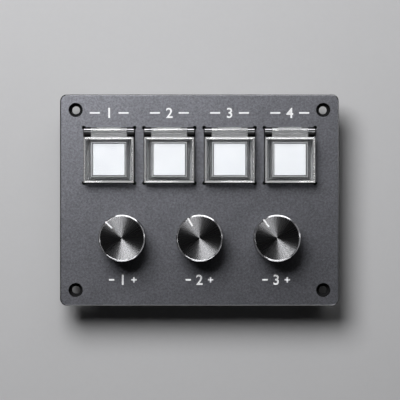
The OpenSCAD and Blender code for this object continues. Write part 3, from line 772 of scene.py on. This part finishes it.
@dataclass
class Panel:
    """The metal front panel with its printed numbers."""

    edge_round: float = 0.12 * MM
    margin: float = 1.0 * MM
    ink_height: float = 0.02 * MM
    numeral_height: float = 4.4 * MM
    bolder: float = 0.014
    key_label_y: float = 37.5 * MM
    key_reach: float = 8.4 * MM
    key_dash: float = 4.4 * MM
    knob_label_y: float = -34.3 * MM
    knob_reach: float = 6.0 * MM
    knob_mark: float = 2.4 * MM
    dash_width: float = 0.7 * MM
    dash_rounding: float = 0.3
    high: Vector = field(init=False)

    def __post_init__(self) -> None:
        """Reads the panel's upper corner."""
        self.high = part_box("front_panel")[1]

    def build_plate(self) -> None:
        """Copies the plate, rounds its edges and paints shade on the walls of its holes with a near-black
        finish.
        """
        bm = mesh_of("front_panel")
        round_edges(bm, self.edge_round)
        for face in bm.faces:
            spot = face.calc_center_median()
            inside = abs(spot.x) < self.high.x - self.margin and abs(spot.y) < self.high.y - self.margin
            # Faces below the face and away from the outer edge get the painted shade; sloping outer faces get
            # the chamfer finish.
            if inside and spot.z < self.high.z - self.edge_round * 1.5:
                face.material_index = 1
            elif not inside and SLOPED < face.normal.z < LEVEL:
                face.material_index = 2
        finish_piece("panel_plate", bm, "case", (BLASTED_PANEL, PANEL_HOLE_WALLS_PAINTED_SHADE, PANEL_CHAMFER),
                     "panel_aluminium", ("front_panel",))

    def numeral(self, text: str, x: float, y: float) -> BMesh:
        """Makes a flat numeral that stands on the panel's face.

        Args:
            text: The numeral.
            x: Its middle across the panel.
            y: Its middle along the panel.

        Returns:
            The numeral's mesh.
        """
        curve = bpy.data.curves.new("numeral", "FONT")
        curve.body = text
        curve.align_x = "CENTER"
        curve.extrude = self.ink_height / 2
        curve.offset = self.bolder
        holder = add_object("numeral", curve)
        bpy.context.view_layer.update()
        bm = bmesh.new()
        bm.from_mesh(holder.to_mesh())
        holder.to_mesh_clear()
        bpy.data.objects.remove(holder)
        tall = max(v.co.y for v in bm.verts) - min(v.co.y for v in bm.verts)
        scale = self.numeral_height / tall
        bmesh.ops.scale(bm, verts=bm.verts, vec=(scale, scale, 1.0))
        mid = [(min(v.co[i] for v in bm.verts) + max(v.co[i] for v in bm.verts)) / 2 for i in (0, 1)]
        bmesh.ops.translate(bm, verts=bm.verts,
                            vec=(x - mid[0], y - mid[1], self.high.z + self.ink_height / 2))
        return bm

    def dash(self, bm: BMesh, x: float, y: float, length: float, upright: bool = False) -> None:
        """Adds a printed dash with softened corners.

        Args:
            bm: The print that it joins.
            x: Its middle across the panel.
            y: Its middle along the panel.
            length: Its length.
            upright: True for a dash that runs along the panel.
        """
        size = (self.dash_width, length) if upright else (length, self.dash_width)
        made = add_block(bm, (*size, self.ink_height), (x, y, self.high.z + self.ink_height / 2))
        corners = [e for e in {e for v in made for e in v.link_edges}
                   if abs(e.verts[0].co.z - e.verts[1].co.z) > self.ink_height / 2]
        bmesh.ops.bevel(bm, geom=corners, offset=self.dash_width * self.dash_rounding, segments=3,
                        profile=0.5, affect="EDGES", material=-1)

    def label(self, number: int, x: float, y: float, reach: float, length: float) -> BMesh:
        """Makes a number between two dashes.

        Args:
            number: The number.
            x: Its middle across the panel.
            y: Its middle along the panel.
            reach: How far the dashes reach to either side of the middle.
            length: The dashes' length.

        Returns:
            The label's mesh.
        """
        bm = self.numeral(str(number), x, y)
        for side in (-1, 1):
            self.dash(bm, x + side * (reach - length / 2), y, length)
        return bm

    def build_print(self) -> None:
        """Prints a number over each key, and a number between minus and plus under each knob, whose ink has a
        painted glow.
        """
        for number in KEY_NUMBERS:
            x = middle(f"key_frame_{number}").x
            bm = self.label(number, x, self.key_label_y, self.key_reach, self.key_dash)
            finish_piece(f"key_number_{number}", bm, "case", (WHITE_INK,))
        for number in KNOB_NUMBERS:
            x = middle(f"encoder_body_{number}").x
            bm = self.label(number, x, self.knob_label_y, self.knob_reach, self.knob_mark)
            plus = x + (self.knob_reach - self.knob_mark / 2)
            self.dash(bm, plus, self.knob_label_y, self.knob_mark, upright=True)
            finish_piece(f"knob_number_{number}", bm, "case", (KNOB_INK_PAINTED_GLOW,))

    def build(self) -> None:
        """Builds the plate and its print."""
        self.build_plate()
        self.build_print()


@dataclass
class Housing:
    """The moulded rear housing with its feet, screws and cable socket."""

    edge_round: float = 0.25 * MM
    small_round: float = 0.08 * MM
    socket_round: float = 0.04 * MM
    contact_round: float = 0.01 * MM
    contact_count: int = 6
    contact_size: tuple[float, float, float] = (0.35 * MM, 4.5 * MM, 0.03 * MM)
    contact_span: float = 5.6 * MM
    contact_inset: float = 0.4 * MM
    tongue: float = 0.7 * MM

    def build_contacts(self) -> None:
        """Lays the gold strips on the cable socket's tongue."""
        spot, high = middle("cable_socket"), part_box("cable_socket")[1]
        y = high.y - self.contact_inset - self.contact_size[1] / 2
        bm = bmesh.new()
        for side in (-1, 1):
            for i in range(self.contact_count):
                x = spot.x + self.contact_span * (i / (self.contact_count - 1) - 0.5)
                add_block(bm, self.contact_size, (x, y, spot.z + side * self.tongue / 2))
        round_edges(bm, self.contact_round, segments=1)
        finish_piece("socket_contacts", bm, "case", (GOLD,), "socket_steel")

    def build(self) -> None:
        """Builds the housing and what is fixed to it."""
        for node, width, finish, slot in (("rear_housing", self.edge_round, HOUSING, "housing_plastic"),
                                          ("rubber_feet", self.edge_round, RUBBER, "foot_rubber"),
                                          ("housing_screws", self.small_round, BLACK_STEEL, "black_steel"),
                                          ("cable_socket", self.socket_round, PLATED, "socket_steel")):
            soften_node(node, node + "_finished", "case", finish, slot, width)
        self.build_contacts()
        for node, finish in (("board_standoffs", BRASS), ("main_board", BOARD), ("controller_chip", CHIP),
                             ("chip_capacitors", CERAMIC), ("key_lamps", LAMP), ("encoder_washers", PLATED),
                             ("encoder_nuts", PLATED)):
            dress_node(node, finish)


@dataclass
class Key:
    """A lit push key in its frame, under its flip cover."""

    number: int
    edge_round: float = 0.1 * MM
    cover_length: float = 19.5 * MM
    cover_top: float = 1.2 * MM
    cover_wall: float = 1.0 * MM
    matt_from: float = 0.45
    lens_top: float = 1.2 * MM
    pin_steps: int = 40
    pin_wall: float = 0.28 * MM
    pin_slot: float = 0.56 * MM
    pin_round: float = 0.06 * MM
    pin_fold: float = 60.0

    def build_frame(self) -> None:
        """Rounds the frame's edges, and gives the land inside its cover a paler finish, which is painted
        light.
        """
        name = f"key_frame_{self.number}"
        low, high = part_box(f"flip_cover_{self.number}")
        bm = mesh_of(name)
        round_edges(bm, self.edge_round)
        left, right = low.x + self.cover_wall, high.x - self.cover_wall
        rear = low.y + self.cover_length - self.cover_wall
        for place, way in (((0.0, rear, 0.0), (0.0, 1.0, 0.0)),
                           ((left, 0.0, 0.0), (1.0, 0.0, 0.0)), ((right, 0.0, 0.0), (1.0, 0.0, 0.0))):
            everything = bm.verts[:] + bm.edges[:] + bm.faces[:]
            bmesh.ops.bisect_plane(bm, geom=everything, plane_co=place, plane_no=way)
        for face in bm.faces:
            spot = face.calc_center_median()
            within = spot.y < rear and left < spot.x < right
            level = abs(spot.z - low.z) < self.edge_round and face.normal.z > HALFWAY
            # The land inside the cover takes the pale finish of painted light.
            face.material_index = 1 if within and level else 0
        finish_piece(f"frame_moulding_{self.number}", bm, "case", (FRAME_PLASTIC, FRAME_LAND_PAINTED_LIGHT),
                     "frame_plastic", (name,))

    def build_lens(self) -> None:
        """Rounds the lens's edges, and gives its sides a painted glow for the light that they guide up from
        the lamp.
        """
        name = f"key_lens_{self.number}"
        bm = mesh_of(name)
        round_edges(bm, self.edge_round)
        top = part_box(name)[1].z - self.lens_top - self.edge_round
        for face in bm.faces:
            face.material_index = 0 if abs(face.normal.z) > LEVEL and face.calc_center_median().z > top else 1
        finish_piece(f"lens_cap_{self.number}", bm, f"key_{self.number}", (CLEAR_LENS, LENS_EDGE_PAINTED_GLOW),
                     "lens_clear", (name,))

    def build_cover(self) -> None:
        """Rounds the cover's edges and gives its top, chamfers, walls and tongue their finishes; the front
        chamfer and the side and rear walls take a painted glow.
        """
        name = f"flip_cover_{self.number}"
        low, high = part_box(name)
        finishes = (CLEAR_COVER, COVER_EDGE, COVER_WALL_PAINTED_SHADE, COVER_TONGUE, COVER_SIDE_PAINTED_GLOW, COVER_NOSE_PAINTED_GLOW, TONGUE_REAR)
        bm = mesh_of(name)
        round_edges(bm, self.edge_round)
        for face in bm.faces:
            spot, up = face.calc_center_median(), face.normal.z
            front = spot.y < low.y + self.cover_wall + self.edge_round
            if spot.y > low.y + self.cover_length + self.edge_round / 2:
                finish = TONGUE_REAR if face.normal.y > self.matt_from else COVER_TONGUE
            elif spot.z < high.z - self.cover_top - self.edge_round or up < -SLOPED:
                lid = abs(up) > LEVEL and spot.z > high.z - 2 * self.cover_top
                finish = CLEAR_COVER if lid else COVER_WALL_PAINTED_SHADE if front else COVER_SIDE_PAINTED_GLOW
            elif up > LEVEL:
                finish = CLEAR_COVER
            else:
                finish = COVER_NOSE_PAINTED_GLOW if front else COVER_EDGE
            face.material_index = finishes.index(finish)
        finish_piece(f"cover_lid_{self.number}", bm, f"cover_{self.number}", finishes, "cover_clear", (name,))

    def build_pin(self) -> None:
        """Rolls the hinge pin from sheet, with its slot upwards, its ends chamfered and painted shade inside
        its bore.
        """
        name = f"hinge_pin_{self.number}"
        low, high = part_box(name)
        y, z = (low.y + high.y) / 2, (low.z + high.z) / 2
        outer = (high.z - low.z) / 2
        inner = outer - self.pin_wall
        opening = math.asin(self.pin_slot / 2 / outer)
        start = math.pi / 2 + opening
        bm = bmesh.new()
        lip = [bm.verts.new((low.x, y + r * math.cos(start), z + r * math.sin(start)))
               for r in (outer, inner)]
        bmesh.ops.spin(bm, geom=[*lip, bm.edges.new(lip)], cent=(low.x, y, z), axis=(1, 0, 0),
                       angle=math.tau - 2 * opening, steps=self.pin_steps)
        made = bmesh.ops.extrude_face_region(bm, geom=bm.faces[:])["geom"]
        end = [v for v in made if isinstance(v, BMVert)]
        bmesh.ops.translate(bm, verts=end, vec=(high.x - low.x, 0.0, 0.0))
        bmesh.ops.recalc_face_normals(bm, faces=bm.faces)
        centre = Vector((0.0, y, z))
        for face in bm.faces:
            out = face.calc_center_median() - centre
            out.x = 0.0
            # The bore's faces take the painted shade.
            bore = abs(face.normal.x) < HALFWAY and out.length < inner + SLACK
            face.material_index = 1 if bore else 0
        round_edges(bm, self.pin_round, angle=self.pin_fold)
        finish_piece(f"hinge_pin_rolled_{self.number}", bm, "case", (CHROME, PIN_BORE_PAINTED_SHADE), "pin_chrome", (name,))

    def build_spring(self) -> None:
        """Makes the return spring a piece with its own copy of its mesh."""
        name, joint = f"return_spring_{self.number}", f"key_{self.number}_press"
        coil = finish_piece(f"return_coil_{self.number}", mesh_of(name), "case", (SPRING,),
                            "spring_steel", (name,))
        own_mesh(coil)

    def build(self) -> None:
        """Builds the key from its frame up to its cover."""
        n = self.number
        soften_node(f"switch_base_{n}", f"bezel_moulding_{n}", "case", BEZEL_PAINTED_LIGHT, "switch_plastic",
                    self.edge_round)
        self.build_frame()
        self.build_lens()
        self.build_cover()
        self.build_pin()
        dress_node(f"key_diffuser_{n}", DIFFUSER)
        dress_node(f"key_plunger_{n}", SWITCH_PLASTIC)
        self.build_spring()


@dataclass
class Knob:
    """A turned knob with a bright cut rim and a white pointer."""

    number: int
    steps: int = 192
    rim_width: float = 0.45 * MM
    step: float = 0.2 * MM
    dish: float = 0.35 * MM
    dish_rings: int = 6
    tip: float = 0.08 * MM
    hollow_radius: float = 7.4 * MM
    hollow_depth: float = 3.2 * MM
    groove_start: float = 5.9 * MM
    groove_width: float = 0.7 * MM
    groove_depth: float = 0.75 * MM
    inlay_gap: float = 0.02 * MM
    inlay_end: float = 0.1 * MM
    inlay_sunk: float = 0.26 * MM
    inlay_round: float = 0.06 * MM
    crease: float = 20.0
    axis: Vector = field(init=False)
    radius: float = field(init=False)
    foot: float = field(init=False)
    top: float = field(init=False)
    angle: float = field(init=False)

    def __post_init__(self) -> None:
        """Reads the knob's size and place, and its angle from its set screw."""
        low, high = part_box(f"knob_{self.number}")
        self.axis = Vector(((low.x + high.x) / 2, (low.y + high.y) / 2, 0.0))
        self.radius = (high.x - low.x) / 2
        self.foot, self.top = low.z, high.z
        screw = middle(f"knob_set_screw_{self.number}")
        self.angle = math.atan2(self.axis.y - screw.y, self.axis.x - screw.x)

    def profile(self) -> list[tuple[float, float]]:
        """Draws the knob's outline.

        Returns:
            Radius and height from the hollow's middle, round the outside, to the dish's middle.
        """
        r, rim, top = self.radius, self.rim_width, self.top
        inner = r - rim - self.step
        dish_top = top - self.step
        dished = [(inner * (1 - i / self.dish_rings), dish_top - self.dish * i / self.dish_rings)
                  for i in range(self.dish_rings + 1)]
        dished.insert(-1, (self.tip, dish_top - self.dish * (1 - self.tip / inner)))
        return [(0.0, self.foot + self.hollow_depth), (self.hollow_radius, self.foot + self.hollow_depth),
                (self.hollow_radius, self.foot), (r - rim, self.foot), (r, self.foot + rim),
                (r, top - rim), (r - rim, top), *dished]

    def cut_groove(self, bm: BMesh) -> None:
        """Cuts the pointer groove along +X into the top and through the rim.

        Args:
            bm: The spun knob, on the Z axis.
        """
        half, floor = self.groove_width / 2, self.top - self.groove_depth

        def near() -> list:
            """Finds what a cut may touch.

            Returns:
                The faces, edges and corners round the groove.
            """
            faces = [f for f in bm.faces
                     if f.calc_center_median().x > 0 and max(v.co.z for v in f.verts) > floor
                     and f.normal.z > -HALFWAY and min(abs(v.co.y) for v in f.verts) < 2 * half]
            edges, verts = {e for f in faces for e in f.edges}, {v for f in faces for v in f.verts}
            return faces + list(edges) + list(verts)

        for point, way in (((0, half, 0), (0, 1, 0)), ((0, -half, 0), (0, 1, 0)),
                           ((self.groove_start, 0, 0), (1, 0, 0)), ((0, 0, floor), (0, 0, 1))):
            bmesh.ops.bisect_plane(bm, geom=near(), dist=MERGE, plane_co=point, plane_no=way)
        waste = [f for f in bm.faces if abs(f.calc_center_median().y) < half - MERGE
                 and f.calc_center_median().x > self.groove_start and f.calc_center_median().z > floor
                 and f.normal.z > -HALFWAY]
        bmesh.ops.delete(bm, geom=waste, context="FACES")
        rim = [e for e in bm.edges if len(e.link_faces) == 1]
        high = [e for e in rim if max(v.co.z for v in e.verts) > floor + MERGE]
        walls = bmesh.ops.extrude_edge_only(bm, edges=high)["geom"]
        for vert in (v for v in walls if isinstance(v, BMVert)):
            vert.co.z = floor
        bmesh.ops.remove_doubles(bm, verts=bm.verts, dist=MERGE)
        bmesh.ops.dissolve_degenerate(bm, dist=MERGE, edges=bm.edges)
        bmesh.ops.holes_fill(bm, edges=[e for e in bm.edges if len(e.link_faces) == 1], sides=0)
        bmesh.ops.recalc_face_normals(bm, faces=bm.faces)

    def map_turning(self, bm: BMesh) -> None:
        """Lays the map whose U runs round the knob, for the spun face's highlight.

        Args:
            bm: The knob's mesh, on the Z axis.
        """
        layer = bm.loops.layers.uv.new(TURNING_MAP)
        for face in bm.faces:
            spot = face.calc_center_median()
            turn = math.atan2(spot.y, spot.x)
            for loop in face.loops:
                x, y = loop.vert.co.x, loop.vert.co.y
                far = math.hypot(x, y)
                swing = 0.0 if far < SLACK else math.remainder(math.atan2(y, x) - turn, math.tau)
                loop[layer].uv = ((turn + swing) / math.tau, far / self.radius)

    def finish_turned(self, name: str, bm: BMesh, finishes: Iterable[Finish], **settings) -> None:
        """Turns a mesh to the pointer's angle, moves it onto the knob's axis and makes it a piece.

        Args:
            name: The piece's name.
            bm: Its mesh, on the Z axis, with the pointer along +X.
            finishes: Its finishes.
            settings: What else finish_piece takes.
        """
        bmesh.ops.rotate(bm, verts=bm.verts, cent=(0, 0, 0), matrix=Matrix.Rotation(self.angle, 3, "Z"))
        bmesh.ops.translate(bm, verts=bm.verts, vec=self.axis)
        finish_piece(f"{name}_{self.number}", bm, f"dial_{self.number}", finishes, **settings)

    def build_body(self) -> None:
        """Turns the knob, cuts its groove and gives side, rim and face their finishes."""
        bm = spin_profile(self.profile(), self.steps)
        self.cut_groove(bm)
        self.map_turning(bm)
        for face in bm.faces:
            spot = face.calc_center_median()
            if face.normal.z > SLOPED and spot.z > self.top - self.groove_depth + SLACK:
                far = math.hypot(spot.x, spot.y)
                face.material_index = 1 if far > self.radius - self.rim_width - self.step else 2
        rim, front = (replace(finish, name=f"{finish.name} {self.number}", axis=(self.axis.x, self.axis.y))
                      for finish in (CUT_RIM, SPUN_FACE))
        self.finish_turned("knob_turned", bm, (BLACK_ANODISED, rim, front), slot="knob_aluminium",
                           replaces=(f"knob_{self.number}",), sharp=self.crease)

    def build_inlay(self) -> None:
        """Fills the pointer groove with the pointer's white filling, whose glow is painted light."""
        bm = bmesh.new()
        start, stop = self.groove_start + self.inlay_gap, self.radius - self.inlay_end
        low, high = self.top - self.groove_depth, self.top - self.inlay_sunk
        add_block(bm, (stop - start, self.groove_width - 2 * self.inlay_gap, high - low),
                  ((start + stop) / 2, 0.0, (low + high) / 2))
        round_edges(bm, self.inlay_round)
        self.finish_turned("pointer_inlay", bm, (POINTER_ENAMEL_PAINTED_GLOW,))

    def build(self) -> None:
        """Builds the knob and dresses its encoder."""
        self.build_body()
        self.build_inlay()
        for part, finish in (("encoder_body", PLATED), ("encoder_shaft", PLATED), ("encoder_rotor", ROTOR),
                             ("knob_set_screw", BLACK_STEEL)):
            dress_node(f"{part}_{self.number}", finish)


@dataclass
class Lamp:
    """A soft studio lamp."""

    name: str
    place: Vector
    target: Vector
    size: tuple[float, float]
    radiance: float
    shape: str = "RECTANGLE"

    def build(self) -> bpy.types.Object:
        """Hangs the lamp, points it at its target and gives it the power that its radiance needs.

        Returns:
            The lamp.
        """
        light = bpy.data.lights.new(self.name, "AREA")
        light.shape = self.shape
        light.size, light.size_y = self.size
        area = self.size[0] * self.size[1] * (math.pi / 4 if self.shape == "ELLIPSE" else 1.0)
        light.energy = self.radiance * math.pi * area
        lamp = add_object(self.name, light)
        lamp.visible_camera = False
        lamp.location = self.place
        lamp.rotation_euler = (self.target - self.place).to_track_quat("-Z", "Y").to_euler()
        return lamp


@dataclass
class Studio:
    """The pale floor, the lamps and the camera."""

    view_width: float = 172.1 * MM
    camera_height: float = 1.1
    aim: tuple[float, float] = (0.24 * MM, 0.02 * MM)
    sensor: float = 36.0
    clip: tuple[float, float] = (0.01, 20.0)
    floor_reach: float = 2.5
    floor_cells: int = 8
    world_strength: float = 0.008
    wall_top: tuple[float, float] = (0.12, 0.2)
    lamp_distance: float = 0.7
    lamp_size: float = 0.43
    strip_target: float = 0.03
    strip_height: float = 0.1
    left_dark: Optional[bpy.types.Collection] = None

    def build_floor(self) -> None:
        """Lays the plain pale floor that the feet stand on."""
        bm = bmesh.new()
        bmesh.ops.create_grid(bm, x_segments=self.floor_cells, y_segments=self.floor_cells,
                              size=self.floor_reach)
        floor = add_mesh("floor", bm)
        floor.data.materials.append(FLOOR_PAINT.material())
        self.left_dark = bpy.data.collections.new("left dark by the strips")
        self.left_dark.objects.link(floor)
        self.left_dark.collection_objects[0].light_linking.link_state = "EXCLUDE"

    def build_world(self) -> None:
        """Fills the room with plain even light, and shows a pale wall past the floor's edge."""
        world = bpy.data.worlds.new("studio")
        world.use_nodes = True
        wire = Wiring(world.node_tree)
        light = wire.add("Background", {0: WHITE, 1: self.world_strength})
        wall = wire.add("Background", {0: BACKDROP, 1: 1.0})
        way = wire.add("SeparateXYZ", {0: wire.add("TexCoord").outputs["Generated"]})
        share = wire.math("MULTIPLY", wire.seen(), wire.remap(way.outputs["Z"], *self.wall_top, 1.0, 0.0))
        wire.add("OutputWorld", {0: wire.mix_shaders(share, light, wall)})
        bpy.context.scene.world = world

    def build_lamps(self) -> None:
        """Hangs the key lamp and its fill, and stands the low strips that the bright edges mirror.

        An azimuth is in degrees round Z from +X, and a tilt in degrees from +Z.
        """
        face = Vector((0.0, 0.0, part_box("front_panel")[1].z))
        for name, azimuth, tilt, radiance in (("key lamp", 116.0, 34.0, 11.35),
                                              ("fill lamp", 68.0, 48.0, 0.95)):
            around, lean = math.radians(azimuth), math.radians(tilt)
            way = Vector((math.sin(lean) * math.cos(around), math.sin(lean) * math.sin(around),
                          math.cos(lean)))
            place = face + way * self.lamp_distance
            Lamp(name, place, face, (self.lamp_size,) * 2, radiance, "ELLIPSE").build()
        low = Vector((0.0, 0.0, self.strip_target))
        for name, azimuth, width, far, height, radiance in (
                ("back strip", 80.0, 0.85, 0.75, 0.055, 12.5), ("front strip", -80.0, 0.8, 0.75, 0.07, 9.0),
                ("right strip", 5.0, 0.12, 0.75, 0.055, 6.0), ("right glow", -5.0, 1.4, 0.8, 0.055, 1.5),
                ("left strip", 180.0, 0.3, 0.75, 0.055, 0.3)):
            around = math.radians(azimuth)
            place = Vector((math.cos(around), math.sin(around), 0.0)) * far + Vector((0.0, 0.0, height))
            strip = Lamp(name, place, low, (width, self.strip_height), radiance).build()
            strip.light_linking.receiver_collection = self.left_dark

    def build_camera(self) -> None:
        """Hangs the camera straight over the panel, as in the photograph."""
        lens = bpy.data.cameras.new("camera")
        lens.sensor_width = self.sensor
        lens.lens = self.sensor * self.camera_height / self.view_width
        lens.clip_start, lens.clip_end = self.clip
        camera = add_object("camera", lens)
        camera.location = (*self.aim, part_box("front_panel")[1].z + self.camera_height)
        bpy.context.scene.camera = camera

    def build(self) -> None:
        """Builds the studio."""
        self.build_camera()
        self.build_floor()
        self.build_world()
        self.build_lamps()
        bpy.context.scene.view_settings.view_transform = "Standard"


def main() -> None:
    """Builds the studio and every part of the keypad, in order."""
    logging.basicConfig(level=logging.INFO, format="%(name)s: %(message)s")
    Studio().build()
    Panel().build()
    Housing().build()
    for number in KEY_NUMBERS:
        Key(number).build()
    for number in KNOB_NUMBERS:
        Knob(number).build()


if __name__ == "__main__":
    main()
